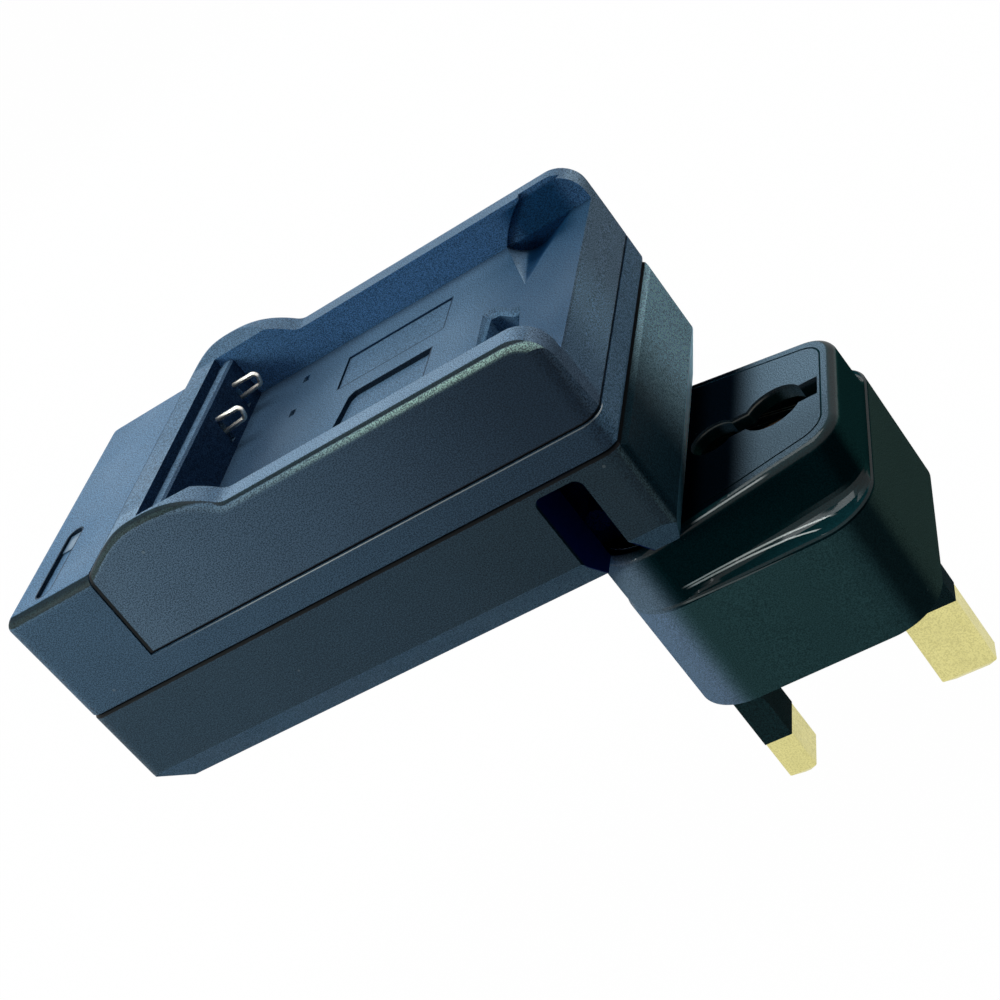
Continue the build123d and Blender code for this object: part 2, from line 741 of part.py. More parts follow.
seat = screw_head_height + seat_gap
screw = post(screw_x, 0, screw_head_radius, seat - screw_head_height, seat)
screw += post(screw_x, 0, screw_radius, seat, screw_foot + boss_depth - seat_gap)
screw -= on_axis(screw_x, 0, drive_length, drive_slot, -1, seat - screw_head_height + drive_depth)
save(screw, "adapter_screw")
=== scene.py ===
import math

import bpy
import numpy as np
from mathutils import Matrix, Vector


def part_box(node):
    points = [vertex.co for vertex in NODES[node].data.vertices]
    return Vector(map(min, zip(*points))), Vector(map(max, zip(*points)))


bl_info = {
    "name": "Battery Charger With Plug Adapter",
    "version": (1, 0, 0),
    "blender": (4, 5, 0),
    "location": "View3D > Sidebar > Charger",
    "description": "Dresses the packed battery charger and its plug adapter for a studio picture",
    "category": "Object",
}

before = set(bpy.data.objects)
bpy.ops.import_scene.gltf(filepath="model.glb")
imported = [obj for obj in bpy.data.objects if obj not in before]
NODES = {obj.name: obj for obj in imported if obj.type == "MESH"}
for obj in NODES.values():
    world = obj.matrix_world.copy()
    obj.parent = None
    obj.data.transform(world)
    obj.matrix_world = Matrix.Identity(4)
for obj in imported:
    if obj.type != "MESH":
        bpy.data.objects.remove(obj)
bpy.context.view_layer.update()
MM = 0.001
CASE_LOW, CASE_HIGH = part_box("lower_case")
UPPER_LOW, UPPER_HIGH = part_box("upper_case")
CRADLE_LOW, CRADLE_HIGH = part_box("battery_cradle")
COVER_LOW, COVER_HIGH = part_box("adapter_cover")
BASE_LOW, BASE_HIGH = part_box("adapter_base")
PIN_LOW, PIN_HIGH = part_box("earth_pin")
JOINT = UPPER_LOW[2]
SEAM = JOINT + 4.3 * MM
SLANT = 0.75 / 13.2
NOTCH = (-1.95 * MM, 4.65 * MM)
FLOOR = 54.2 * MM
# Painted shadow lines on the bay floor along the label recesses' edges: each lies where one coordinate has a level in
# mm, over a span of the other coordinate in mm.
RECESS_SHADOW_LINES = (("Y", 4.9, "X", -27.6, -10.3), ("X", -10.2, "Y", 5.0, 13.5), ("X", -11.2, "Y", -14.0, 1.3))
# Indicator recess on the deck, in metres: middle X and Y, half its straight length and its radius; a painted shadow
# line is drawn round it.
PILL = (-64.7 * MM, -13.6 * MM, 6.1 * MM, 1.3 * MM)


class ChargerColours(bpy.types.PropertyGroup):
    """Colours of the plastics and metals"""
    case: bpy.props.FloatVectorProperty(
        name="Housing plastic", description="Moulded plastic of the charger's case and cradle",
        subtype="COLOR", size=3, min=0, max=1, default=(0.088, 0.158, 0.245))
    adapter: bpy.props.FloatVectorProperty(
        name="Adapter plastic", description="Glossy plastic of the plug adapter",
        subtype="COLOR", size=3, min=0, max=1, default=(0.005, 0.032, 0.038))
    socket_face: bpy.props.FloatVectorProperty(
        name="Socket face", description="Fine-textured top of the plug adapter",
        subtype="COLOR", size=3, min=0, max=1, default=(0.145, 0.215, 0.275))
    brass: bpy.props.FloatVectorProperty(
        name="Pin brass", description="Bare ends of the mains pins",
        subtype="COLOR", size=3, min=0, max=1, default=(0.755, 0.70, 0.30))
    # Painted light: a lighter copy of the cover's glossy plastic, for the light that the faces below the shoulder
    # reflect.
    adapter_base: bpy.props.FloatVectorProperty(
        name="Adapter base", description="Glossy plastic of the adapter below its shoulder",
        subtype="COLOR", size=3, min=0, max=1, default=(0.078, 0.178, 0.184))
    sleeve: bpy.props.FloatVectorProperty(
        name="Pin sleeve", description="Insulated stretch of the mains pins",
        subtype="COLOR", size=3, min=0, max=1, default=(0.019, 0.054, 0.060))
    contact: bpy.props.FloatVectorProperty(
        name="Contact wire", description="Sprung wire contacts in the battery bay",
        subtype="COLOR", size=3, min=0, max=1, default=(0.96, 0.93, 0.84))


class ChargerFinish(bpy.types.PropertyGroup):
    """Sizes of the moulded finish"""
    grain: bpy.props.FloatProperty(
        name="Grain size", description="Size of one grain of the moulded texture",
        unit="LENGTH", min=0.00002, max=0.002, default=0.00028)
    grain_depth: bpy.props.FloatProperty(
        name="Grain depth", description="Depth of the moulded texture",
        unit="LENGTH", min=0.0, max=0.0005, default=0.000018)
    speck: bpy.props.FloatProperty(
        name="Dust spacing", description="Usual distance between two specks of dust",
        unit="LENGTH", min=0.0005, max=0.02, default=0.0026)


class ChargerStage(bpy.types.PropertyGroup):
    """Camera, lamps and floor"""
    view_point: bpy.props.FloatVectorProperty(
        name="View point", description="Where the camera stands",
        subtype="TRANSLATION", unit="LENGTH", size=3, default=(0.082376, -0.195219, 0.127198))
    view_axis: bpy.props.FloatVectorProperty(
        name="View axis", description="Direction in which the camera looks",
        subtype="DIRECTION", size=3, default=(-0.41479, 0.81731, -0.39994))
    view_right: bpy.props.FloatVectorProperty(
        name="Picture right", description="Direction that runs to the right in the picture",
        subtype="DIRECTION", size=3, default=(0.80652, 0.12674, -0.57746))
    lens: bpy.props.FloatProperty(
        name="Lens", description="Focal length for a frame 36 mm wide", min=10, max=300, default=66.251)
    key_power: bpy.props.FloatProperty(
        name="Key lamp", description="Power of the soft lamp overhead", unit="POWER", min=0, max=200, default=4.4)
    fill_power: bpy.props.FloatProperty(
        name="Fill lamp", description="Power of the small lamp at the front end", unit="POWER", min=0, max=50, default=0.06)
    back_power: bpy.props.FloatProperty(
        name="Back lamp", description="Power of the broad lamp behind the charger", unit="POWER", min=0, max=50, default=2.4)
    edge_power: bpy.props.FloatProperty(
        name="Edge strip", description="Power of the thin lamp that draws the upper edges", unit="POWER", min=0, max=50,
        default=0.06)
    ambient: bpy.props.FloatProperty(
        name="Room light", description="Strength of the light from all round", min=0, max=2, default=0.14)


class Bench:
    """One node tree under construction: adds nodes, sets their sockets and links them."""

    def __init__(self, tree):
        self.tree = tree

    def add(self, kind, values=(), **settings):
        node = self.tree.nodes.new(kind)
        for name, value in settings.items():
            setattr(node, name, value)
        for key, value in dict(values).items():
            self.feed(node.inputs[key], value)
        return node

    def feed(self, socket, value):
        if isinstance(value, bpy.types.NodeSocket):
            self.tree.links.new(value, socket)
        else:
            socket.default_value = value

    def math(self, operation, first, second=0.0, third=0.0, clamp=False):
        node = self.add("ShaderNodeMath", operation=operation, use_clamp=clamp)
        for socket, value in zip(node.inputs, (first, second, third)):
            self.feed(socket, value)
        return node.outputs[0]

    def ramp(self, value, low, high, start=0.0, end=1.0, kind="SMOOTHSTEP"):
        """Value carried from the span low..high to start..end, with soft ends."""
        node = self.add("ShaderNodeMapRange", interpolation_type=kind)
        for key, number in zip((0, 1, 2, 3, 4), (value, low, high, start, end)):
            self.feed(node.inputs[key], number)
        return node.outputs[0]

    def mix(self, factor, first, second):
        node = self.add("ShaderNodeMix", data_type="RGBA")
        self.feed(node.inputs[0], factor)
        self.feed(node.inputs[6], first)
        self.feed(node.inputs[7], second)
        return node.outputs[2]

    def times(self, *shares):
        """Product of shares: numbers or sockets."""
        product = shares[0]
        for share in shares[1:]:
            product = self.math("MULTIPLY", product, share)
        return product

    def tint(self, share, tone, gain):
        """A tone multiplied by a gain, red, green and blue, where the share is 1."""
        node = self.add("ShaderNodeMix", data_type="RGBA", blend_type="MULTIPLY")
        self.feed(node.inputs[0], share)
        self.feed(node.inputs[6], tone)
        self.feed(node.inputs[7], (gain[0], gain[1], gain[2], 1.0))
        return node.outputs[2]

    def noise(self, vector, scale, detail=2.0, roughness=0.5):
        values = {"Vector": vector, "Scale": scale, "Detail": detail, "Roughness": roughness}
        return self.add("ShaderNodeTexNoise", values).outputs[0]

    def group(self, tree, values):
        node = self.add("ShaderNodeGroup", node_tree=tree)
        for key, value in values.items():
            self.feed(node.inputs[key], value)
        return node.outputs


def colour(values, gain=1.0):
    """A colour with alpha, made lighter or darker by a gain."""
    return (values[0] * gain, values[1] * gain, values[2] * gain, 1.0)


def new_group(name, inputs, outputs):
    """An empty shader group with named float or vector inputs and float outputs."""
    tree = bpy.data.node_groups.new(name, "ShaderNodeTree")
    for label, default in inputs.items():
        kind = "NodeSocketVector" if default is None else "NodeSocketFloat"
        socket = tree.interface.new_socket(label, in_out="INPUT", socket_type=kind)
        if default is not None:
            socket.default_value = default
    for label in outputs:
        tree.interface.new_socket(label, in_out="OUTPUT", socket_type="NodeSocketFloat")
    bench = Bench(tree)
    return tree, bench, bench.add("NodeGroupInput").outputs, bench.add("NodeGroupOutput").inputs


def grain_group():
    """Spark-eroded mould grain: rounded cells over a finer noise, as a height and a tone."""
    inputs = {"Vector": None, "Cells": 4500.0, "Patches": 90.0}
    tree, bench, given, result = new_group("Moulded grain", inputs, ("Height", "Tone"))
    cells = bench.add("ShaderNodeTexVoronoi", {"Vector": given["Vector"], "Scale": given["Cells"]},
                      feature="SMOOTH_F1")
    fine = bench.noise(given["Vector"], bench.math("MULTIPLY", given["Cells"], 1.7), 3.0)
    patches = bench.noise(given["Vector"], given["Patches"], 4.0, 0.6)
    height = bench.math("MULTIPLY_ADD", cells.outputs["Distance"], 0.6, bench.math("MULTIPLY", fine, 0.5))
    bench.feed(result["Height"], height)
    speckle = bench.math("MULTIPLY", fine, 0.94)
    bench.feed(result["Tone"], bench.math("MULTIPLY_ADD", patches, 0.06, speckle))
    return tree


def dust_group():
    """Dust: round specks in some cells of a scattered pattern, and broad smudges from handling."""
    inputs = {"Vector": None, "Specks": 380.0, "Share": 0.3, "Size": 0.09}
    tree, bench, given, result = new_group("Dust and smudges", inputs, ("Specks", "Smudge"))
    cells = bench.add("ShaderNodeTexVoronoi", {"Vector": given["Vector"], "Scale": given["Specks"]})
    chosen = bench.add("ShaderNodeSeparateColor", {"Color": cells.outputs["Color"]})
    kept = bench.math("LESS_THAN", chosen.outputs[0], given["Share"])
    reach = bench.math("MULTIPLY", given["Size"], bench.math("MULTIPLY_ADD", chosen.outputs[1], 0.9, 0.3))
    spot = bench.math("LESS_THAN", cells.outputs["Distance"], reach)
    bench.feed(result["Specks"], bench.math("MULTIPLY", kept, spot))
    bench.feed(result["Smudge"], bench.noise(given["Vector"], bench.math("MULTIPLY", given["Specks"], 0.16), 5.0, 0.6))
    return tree


def line_group():
    """A soft line where one coordinate passes a level: 1 on the level, 0 a width away from it."""
    inputs = {"Coordinate": 0.0, "Level": 0.0, "Width": 0.0002}
    tree, bench, given, result = new_group("Line at a level", inputs, ("Mask",))
    gap = bench.math("ABSOLUTE", bench.math("SUBTRACT", given["Coordinate"], given["Level"]))
    bench.feed(result["Mask"], bench.ramp(gap, bench.math("MULTIPLY", given["Width"], 0.7), given["Width"], 1.0, 0.0))
    return tree


GROUP_MAKERS = {"Moulded grain": grain_group, "Dust and smudges": dust_group, "Line at a level": line_group}


def shared(name):
    """The shared shader group of that name, built the first time it is asked for."""
    return bpy.data.node_groups.get(name) or GROUP_MAKERS[name]()


def begin(name):
    """A new material: its bench, its surface shader and its place on the object."""
    material = bpy.data.materials.new(name)
    material.use_nodes = True
    bench = Bench(material.node_tree)
    material.node_tree.nodes.clear()
    surface = bench.add("ShaderNodeBsdfPrincipled")
    bench.add("ShaderNodeOutputMaterial", {"Surface": surface.outputs[0]})
    place = bench.add("ShaderNodeTexCoord")
    return material, bench, surface.inputs, place.outputs


def bump(bench, surface, height, depth, strength=1.0):
    """Height in units of depth, as a bump on the surface."""
    node = bench.add("ShaderNodeBump", {"Height": height, "Distance": depth, "Strength": strength})
    bench.feed(surface["Normal"], node.outputs[0])


def seam_lines(bench, tone, split, levels, slant=None, width=0.45 * MM):
    """Dark lines in the joints: levels along Z, and a slanted level x = slant + SLANT (z - SEAM)."""
    rules = [(split["Z"], level) for level in levels]
    if slant is not None:
        lean = bench.math("MULTIPLY", bench.math("SUBTRACT", split["Z"], SEAM), SLANT)
        rules.append((bench.math("SUBTRACT", split["X"], lean), slant))
    for coordinate, level in rules:
        line = bench.group(shared("Line at a level"), {"Coordinate": coordinate, "Level": level, "Width": width})
        tone = bench.mix(line["Mask"], tone, (0.001, 0.002, 0.003, 1.0))
    return tone


def painted_edge_glint(bench, tone, split, turned, grain, strength):
    """Painted shade and a painted glint on the near upper edge: dark over its curve, and along the bay a light line
    that grows brighter towards the rear.
    """
    near = bench.times(bench.ramp(turned["Y"], -0.12, -0.24), bench.ramp(split["Y"], -20.5 * MM, -21.5 * MM))
    front = bench.ramp(split["X"], -36.0 * MM, -42.0 * MM)
    top = bench.ramp(turned["Z"], 0.97, 0.995, 1.0, 0.0)
    level = bench.math("MULTIPLY_ADD", front, -0.44, 0.68)
    dark = bench.times(near, top, bench.ramp(turned["Z"], level, bench.math("ADD", level, 0.12)))
    # Painted shade over the top of the edge's curve.
    tone = bench.tint(dark, tone, (0.07, 0.11, 0.10))
    # Painted glint along the edge, speckled by the grain.
    light = bench.times(near, bench.ramp(turned["Z"], 0.03, 0.42), bench.ramp(turned["Z"], 0.66, 0.78, 1.0, 0.0))
    light = bench.times(light, bench.ramp(split["X"], -38.0 * MM, 0.0, 0.05, 1.0))
    share = bench.times(light, bench.ramp(grain["Tone"], 0.42, 0.58, 0.20 * strength, strength))
    return bench.mix(share, tone, (0.66, 1.0, 0.88, 1.0)), light


def faces(bench, place):
    """Shares of the surface that face the near side, the rear, up and down, with the split normal."""
    turned = bench.add("ShaderNodeSeparateXYZ", {"Vector": place["Normal"]}).outputs
    near = bench.ramp(turned["Y"], -0.55, -0.85)
    rear = bench.ramp(turned["X"], 0.55, 0.85)
    top = bench.ramp(turned["Z"], 0.80, 0.97)
    under = bench.ramp(turned["Z"], -0.15, -0.50)
    return turned, near, rear, top, under


def cradle_painted_light(bench, tone, split, turned, near, rear, top, under):
    """Painted light and shade on the cradle: side wall, bay floor, wall tops, far wall, scoop and rear end."""
    # Painted light and shade on the near side wall: lighter towards the front, darker towards the rear.
    outside = bench.ramp(split["Y"], -20.0 * MM, -22.0 * MM)
    side = bench.times(near, outside)
    tone = bench.tint(bench.times(side, bench.ramp(split["X"], -20.0 * MM, -60.0 * MM)), tone, (1.35, 1.25, 1.18))
    tone = bench.tint(bench.times(side, bench.ramp(split["X"], -28.0 * MM, 9.0 * MM)), tone, (0.30, 0.34, 0.37))
    tone = bench.tint(side, tone, (1.2, 1.1, 1.07))
    # Painted light: the far wall's inner face made lighter and bluer.
    inner = bench.times(near, bench.ramp(split["Y"], 10.0 * MM, 15.0 * MM))
    tone = bench.tint(inner, tone, (1.0, 1.38, 1.75))
    # Painted shade on the bay floor towards its front and rear ends.
    floor = bench.times(top, bench.ramp(split["Z"], 55.2 * MM, 54.6 * MM))
    tone = bench.tint(bench.times(floor, bench.ramp(split["X"], -22.0 * MM, -40.0 * MM)), tone, (0.45, 0.48, 0.52))
    tone = bench.tint(bench.times(floor, bench.ramp(split["X"], -9.0 * MM, 3.0 * MM)), tone, (0.34, 0.485, 0.58))
    # Painted shade on the side walls of the label recesses.
    recess = bench.times(bench.ramp(turned["Z"], 0.5, 0.2), bench.ramp(split["Z"], FLOOR - 0.01 * MM, FLOOR - 0.06 * MM),
                         bench.ramp(split["Z"], FLOOR - 0.9 * MM, FLOOR - 0.8 * MM),
                         bench.ramp(split["X"], -28.5 * MM, -28.0 * MM), bench.ramp(split["X"], -9.4 * MM, -9.9 * MM),
                         bench.ramp(split["Y"], -17.0 * MM, -16.0 * MM), bench.ramp(split["Y"], 16.0 * MM, 15.0 * MM))
    tone = bench.tint(recess, tone, (0.14, 0.16, 0.18))
    # Painted shadow lines along the label recesses' edges.
    for along, level, across, low, high in RECESS_SHADOW_LINES:
        line = bench.group(shared("Line at a level"), {"Coordinate": split[along], "Level": level * MM, "Width": 0.16 * MM})
        span = bench.times(bench.ramp(split[across], (low - 0.1) * MM, low * MM), bench.ramp(split[across], (high + 0.1) * MM, high * MM))
        tone = bench.tint(bench.times(line["Mask"], floor, span), tone, (0.22, 0.25, 0.28))
    # Painted light on the near wall's top.
    rim = bench.times(top, bench.ramp(split["Z"], 57.6 * MM, 58.2 * MM), bench.ramp(split["Y"], -15.0 * MM, -17.5 * MM))
    tone = bench.tint(rim, tone, (1.8, 1.56, 1.43))
    # Painted shade in the scoop at the rear of the far wall.
    hollow = bench.times(bench.ramp(split["Z"], 58.9 * MM, 58.3 * MM), bench.ramp(split["Y"], 11.0 * MM, 15.0 * MM))
    hollow = bench.times(hollow, bench.ramp(split["X"], -2.0 * MM, 1.0 * MM), bench.ramp(split["X"], 10.0 * MM, 6.5 * MM))
    hollow = bench.times(hollow, bench.ramp(turned["X"], 0.5, 0.3), bench.ramp(split["Y"], 22.0 * MM, 21.0 * MM))
    tone = bench.tint(hollow, tone, (0.12, 0.35, 0.45))
    # Painted shade on the sunk floor at the far scoop.
    sunk = bench.times(bench.ramp(split["Z"], 54.0 * MM, 53.6 * MM), bench.ramp(split["X"], -6.0 * MM, -5.0 * MM))
    cone = bench.times(sunk, bench.ramp(split["Y"], 2.5 * MM, 4.0 * MM), bench.ramp(turned["X"], 0.5, 0.3))
    cone = bench.times(cone, bench.ramp(split["Y"], 22.0 * MM, 21.0 * MM))
    tone = bench.tint(cone, tone, (0.30, 0.50, 0.62))
    # Painted light in the near pocket.
    pocket = bench.times(sunk, bench.ramp(split["Y"], 9.0 * MM, -5.0 * MM), bench.ramp(split["Y"], -19.5 * MM, -18.5 * MM))
    tone = bench.tint(pocket, tone, (1.35, 1.45, 1.45))
    # Painted shade on the bay's front wall.
    front = bench.times(rear, bench.ramp(split["X"], -38.0 * MM, -42.0 * MM))
    tone = bench.tint(front, tone, (0.20, 0.27, 0.38))
    # Painted light on the rear end, with painted shade towards the near side.
    rear = bench.times(rear, bench.ramp(split["X"], -2.0 * MM, 2.0 * MM))
    tone = bench.tint(rear, tone, (3.3, 2.6, 2.2))
    return bench.tint(bench.times(rear, bench.ramp(split["Y"], -3.0 * MM, -18.0 * MM)), tone, (0.55, 0.57, 0.62))


def upper_painted_light(bench, tone, split, turned, near, rear, top, under):
    """Painted light and shade on the upper case: bluer deck, cooler rear end, painted highlight in a lip below the
    cradle's seam, painted shade on the near side and a painted shadow line round the indicator recess.
    """
    # Painted highlight in a thin line just below the cradle's seam, on the near side.
    lip = bench.group(shared("Line at a level"),
                      {"Coordinate": split["Z"], "Level": SEAM - 0.09 * MM, "Width": 0.09 * MM})["Mask"]
    lip = bench.times(lip, bench.ramp(split["X"], -58.0 * MM, -30.0 * MM), bench.ramp(split["Y"], -20.0 * MM, -21.0 * MM))
    tone = bench.mix(bench.times(lip, 0.95), tone, (1.0, 1.0, 1.0, 1.0))
    # Painted light: the faces that look up made bluer and lighter.
    tone = bench.tint(top, tone, (1.0, 1.08, 1.14))
    # Painted shadow line round the indicator recess.
    aside = bench.math("SUBTRACT", split["X"], PILL[0])
    beyond = bench.math("SUBTRACT", bench.math("ABSOLUTE", bench.math("SUBTRACT", split["Y"], PILL[1])), PILL[2])
    beyond = bench.math("MAXIMUM", beyond, 0.0)
    reach = bench.math("SQRT", bench.math("MULTIPLY_ADD", aside, aside, bench.times(beyond, beyond)))
    ring = bench.group(shared("Line at a level"), {"Coordinate": reach, "Level": PILL[3], "Width": 0.28 * MM})["Mask"]
    tone = bench.tint(ring, tone, (0.16, 0.18, 0.20))
    # Painted shade on the near side, darker towards the rear.
    tone = bench.tint(bench.times(near, bench.ramp(split["X"], -35.0 * MM, 10.0 * MM)), tone, (0.55, 0.58, 0.60))
    # Painted light on the rear end.
    return bench.tint(bench.times(rear, bench.ramp(split["X"], -2.0 * MM, 2.0 * MM)), tone, (2.6, 2.4, 2.2))


def lower_painted_light(bench, tone, split, turned, near, rear, top, under):
    """Painted light and shade on the lower case: a darker side and edge, lighter faces that look down, and a lighter
    rear end that darkens to the near side.
    """
    # Painted shade on the near side, darker towards the rear.
    tone = bench.tint(near, tone, (0.66, 0.66, 0.62))
    tone = bench.tint(bench.times(near, bench.ramp(split["X"], -30.0 * MM, 5.0 * MM)), tone, (0.70, 0.72, 0.68))
    # Painted light on the faces that look down.
    tone = bench.tint(under, tone, (3.4, 3.05, 2.9))
    # Painted light on the rear end.
    tone = bench.tint(rear, tone, (6.7, 5.7, 4.15))
    # Painted shadow on the rear end towards the near side.
    tone = bench.tint(bench.times(rear, bench.ramp(split["Y"], 12.0 * MM, -12.0 * MM)), tone, (0.02, 0.04, 0.05))
    return tone


def case_plastic(name, base, finish, gain=1.0, seams=(), slant=None, shade=None, edge=0.0, light=None, sheen=0.15):
    """Satin moulded plastic with a fine grain and dark seams, painted shade inside the finger notch, painted light and
    shade from the light function given, and a painted glint along the near upper edge.
    """
    material, bench, surface, place = begin(name)
    grain = bench.group(shared("Moulded grain"), {"Vector": place["Object"], "Cells": 1 / finish.grain})
    dust = bench.group(shared("Dust and smudges"),
                       {"Vector": place["Object"], "Specks": 1 / finish.speck, "Share": 0.10, "Size": 0.07})
    tone = bench.mix(bench.ramp(grain["Tone"], 0.34, 0.66), colour(base, 0.40 * gain), colour(base, 1.60 * gain))
    split = bench.add("ShaderNodeSeparateXYZ", {"Vector": place["Object"]}).outputs
    turned, *shares = faces(bench, place)
    if light is not None:
        tone = light(bench, tone, split, turned, *shares)
    # Painted glint and painted shade on the near upper edge, with a clear coat over the glint.
    if edge > 0:
        tone, glint_share = painted_edge_glint(bench, tone, split, turned, grain, edge)
        bench.feed(surface["Coat Weight"], bench.times(glint_share, 0.5 * edge))
        surface["Coat Roughness"].default_value = 0.16
    tone = bench.mix(bench.math("MULTIPLY", dust["Specks"], 0.30), tone, (0.45, 0.50, 0.52, 1.0))
    tone = seam_lines(bench, tone, split, seams, slant, 0.40 * MM if slant is None else 0.55 * MM)
    # Painted shade inside the finger notch: dark blue over the notch's span along X, away from the side walls. The mask
    # takes |Y|, so the same span on the far side turns dark too.
    if shade is not None:
        inside = bench.ramp(bench.math("ABSOLUTE", split["Y"]), shade[2] - 1.2 * MM, shade[2] - 0.2 * MM, 1.0, 0.0)
        inside = bench.math("MULTIPLY", inside, bench.ramp(split["X"], shade[0] - 0.2 * MM, shade[0]))
        inside = bench.math("MULTIPLY", inside, bench.ramp(split["X"], shade[1], shade[1] + 0.2 * MM, 1.0, 0.0))
        tone = bench.mix(inside, tone, (0.004, 0.018, 0.14, 1.0))
    bench.feed(surface["Base Color"], tone)
    bench.feed(surface["Roughness"], bench.ramp(dust["Smudge"], 0.25, 0.75, 0.44, 0.58))
    surface["IOR"].default_value = 1.45
    dull = bench.math("MAXIMUM", bench.math("MAXIMUM", shares[1], shares[3]), bench.times(shares[2], 0.78))
    bench.feed(surface["Specular IOR Level"], bench.math("MULTIPLY_ADD", dull, -0.95 * sheen, sheen))
    bump(bench, surface, grain["Height"], finish.grain_depth)
    return material


def adapter_plastic(name, gloss, satin, finish, top, gains, gleams=()):
    """Glossy plastic with dust on it, painted highlight lines along its shoulder, painted light and shade on its walls
    and socket face, and a satin finish on the flat top.

    The gains paint light and shade: a painted reflection on the front end's near corner, painted shade on the rear
    corners and painted light on the rear end. A gleam is a painted highlight line z + slope x = level on the near side,
    from a start to an end along X, with a strength.
    """
    material, bench, surface, place = begin(name)
    grain = bench.group(shared("Moulded grain"), {"Vector": place["Object"], "Cells": 1 / finish.grain})
    dust = bench.group(shared("Dust and smudges"), {"Vector": place["Object"], "Specks": 1.4 / finish.speck, "Share": 0.3})
    split = bench.add("ShaderNodeSeparateXYZ", {"Vector": place["Object"]}).outputs
    turned = bench.add("ShaderNodeSeparateXYZ", {"Vector": place["Normal"]}).outputs
    facing = turned["Z"]
    level = bench.ramp(split["Z"], top - 0.12 * MM, top - 0.04 * MM)
    flat = bench.math("MULTIPLY", level, bench.ramp(facing, 0.90, 0.98))
    # Painted reflection: the front end's near corner made lighter.
    corner = bench.times(bench.ramp(turned["X"], 0.02, -0.45), bench.ramp(turned["Y"], -0.02, -0.30))
    walls = bench.tint(corner, colour(gloss), gains[0])
    # Painted light on the walls' front part.
    walls = bench.tint(bench.ramp(split["X"], 3.5 * MM, 0.0), walls, (2.0, 1.5, 1.5))
    # Painted shade on the rear corners.
    walls = bench.tint(bench.ramp(turned["X"], 0.30, 0.60), walls, gains[1])
    # Painted light on the rear end.
    walls = bench.tint(bench.ramp(turned["X"], 0.80, 0.97), walls, gains[2])
    # Painted highlight on the upper rims of the socket openings.
    rim = bench.times(bench.ramp(split["Z"], top - 0.9 * MM, top - 0.2 * MM), bench.ramp(facing, 0.6, 0.3))
    rim = bench.times(rim, bench.ramp(bench.math("ABSOLUTE", split["Y"]), 7.5 * MM, 7.0 * MM), 0.8)
    walls = bench.mix(rim, walls, colour(satin, 0.9))
    walls = bench.mix(bench.ramp(grain["Tone"], 0.34, 0.66, 0.0, 0.5), walls, (0.0, 0.001, 0.001, 1.0))
    walls = bench.tint(1.0, walls, (1.33, 1.33, 1.33))
    tilt = bench.math("SQRT", bench.math("MULTIPLY_ADD", facing, bench.times(facing, -1.0), 1.0))
    # Painted highlight lines along the shoulder: the gleams.
    for slope, level, start, end, strength in gleams:
        height = bench.math("MULTIPLY_ADD", split["X"], slope, split["Z"])
        line = bench.group(shared("Line at a level"), {"Coordinate": height, "Level": level, "Width": bench.times(tilt, 0.13 * MM)})
        share = bench.times(line["Mask"], bench.ramp(split["X"], start, start + 1.5 * MM), bench.ramp(turned["Y"], -0.1, -0.3))
        share = bench.times(share, bench.ramp(split["X"], end - 2.0 * MM, end, 1.0, 0.0), strength)
        walls = bench.mix(share, walls, (0.95, 1.0, 0.97, 1.0))
    tone = bench.mix(bench.ramp(grain["Tone"], 0.34, 0.66), colour(satin, 0.5), colour(satin, 1.5))
    # Painted shade on the socket face, darker towards the near side.
    tone = bench.tint(bench.ramp(split["Y"], 4.0 * MM, -8.0 * MM), tone, (0.72, 0.73, 0.73))
    # Painted shadow of the charger on the socket face, next to the case's rear end.
    tone = bench.tint(bench.ramp(split["X"], CASE_HIGH[0] + 8.5 * MM, CASE_HIGH[0] + 3.0 * MM), tone, (0.01, 0.02, 0.03))
    tone = bench.mix(flat, walls, tone)
    tone = bench.mix(bench.math("MULTIPLY", dust["Specks"], 0.10), tone, (0.42, 0.46, 0.47, 1.0))
    bench.feed(surface["Base Color"], tone)
    sheen = bench.ramp(dust["Smudge"], 0.3, 0.8, 0.06, 0.16)
    bench.feed(surface["Roughness"], bench.math("MULTIPLY_ADD", flat, 0.42, sheen))
    surface["IOR"].default_value = 1.45
    surface["Specular IOR Level"].default_value = 0.0
    shoulder = bench.math("MULTIPLY", bench.ramp(facing, 0.25, 0.45), bench.ramp(facing, 0.90, 0.99, 1.0, 0.0))
    bench.feed(surface["Coat Weight"], bench.math("MULTIPLY", shoulder, 0.4))
    surface["Coat Roughness"].default_value = 0.08
    bump(bench, surface, bench.math("MULTIPLY", grain["Height"], flat), finish.grain_depth)
    return material


def metal(name, base, roughness, stretch=(1.0, 1.0, 0.06), scale=5200.0):
    """Drawn or plated metal: long fine scratches, and a tone that drifts along the piece."""
    material, bench, surface, place = begin(name)
    along = bench.add("ShaderNodeMapping", {"Vector": place["Object"], "Scale": stretch}).outputs[0]
    scratch = bench.noise(along, scale, 3.0, 0.6)
    drift = bench.noise(place["Object"], 260.0, 3.0, 0.6)
    tone = bench.mix(drift, colour(base, 0.86), colour(base, 1.08))
    sand = bench.noise(place["Object"], 4200.0, 2.0, 0.7)
    tone = bench.mix(bench.ramp(sand, 0.44, 0.62, 0.0, 0.55), tone, colour(base, 0.62))
    bench.feed(surface["Base Color"], tone)
    surface["Metallic"].default_value = 1.0
    bench.feed(surface["Roughness"], bench.ramp(scratch, 0.3, 0.7, roughness * 0.8, roughness * 1.25))
    bump(bench, surface, scratch, 0.004 * MM)
    return material


